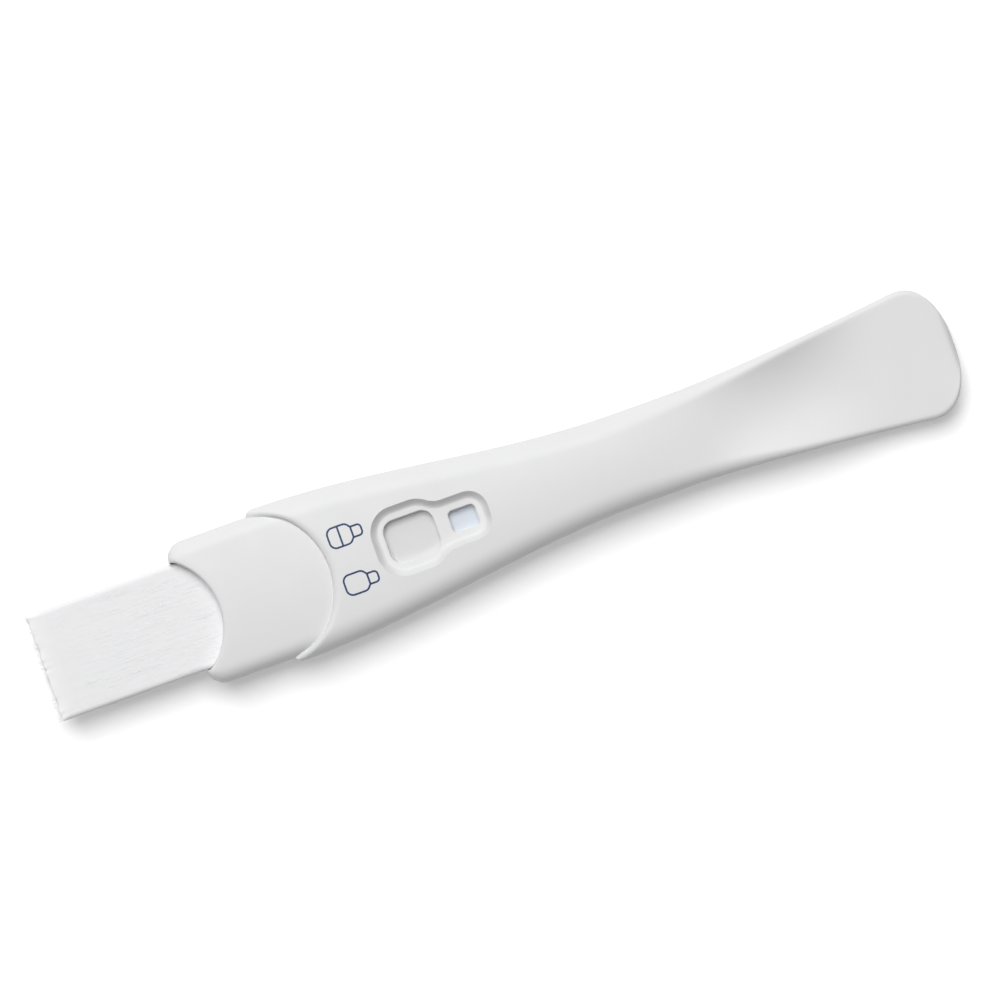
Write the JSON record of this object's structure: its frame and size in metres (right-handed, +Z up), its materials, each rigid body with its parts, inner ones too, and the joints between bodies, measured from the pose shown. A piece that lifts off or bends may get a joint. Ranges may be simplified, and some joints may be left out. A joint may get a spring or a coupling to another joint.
{
  "type": "midstream pregnancy test stick",
  "caption": "Slim white plastic test stick with a broad fibre wick at its nose, a recessed pair of result windows on top and a dished thumb grip at the other end.",
  "frame": {"origin": "under the middle of the stick's whole length, wick included, on its middle plane and on the surface it lies on", "axes": "+X along the stick from the wick to the thumb grip, +Y across it, +Z up out of the result windows"},
  "size_m": [0.1458, 0.0242, 0.0096],
  "materials": {
    "case_plastic": "white moulded plastic, satin to semi-gloss",
    "wick_fibre": "bonded white fibre with streaks along its length",
    "conjugate_fibre": "glass fibre pad, faintly tinted",
    "membrane_paper": "smooth white membrane, matt",
    "backing_plastic": "thin white plastic card",
    "absorbent_paper": "thick white blotting paper",
    "clear_pane": "clear plastic, glossy",
    "tablet": "pressed off-white drying tablet, matt"
  },
  "bodies": {
    "root": {"top_case": "case_plastic", "bottom_case": "case_plastic", "sampler_wick": "wick_fibre", "conjugate_pad": "conjugate_fibre", "membrane": "membrane_paper", "backing_card": "backing_plastic", "absorbent_pad": "absorbent_paper", "window_pane": "clear_pane", "desiccant_tablet": "tablet"}
  },
  "joints": []
}
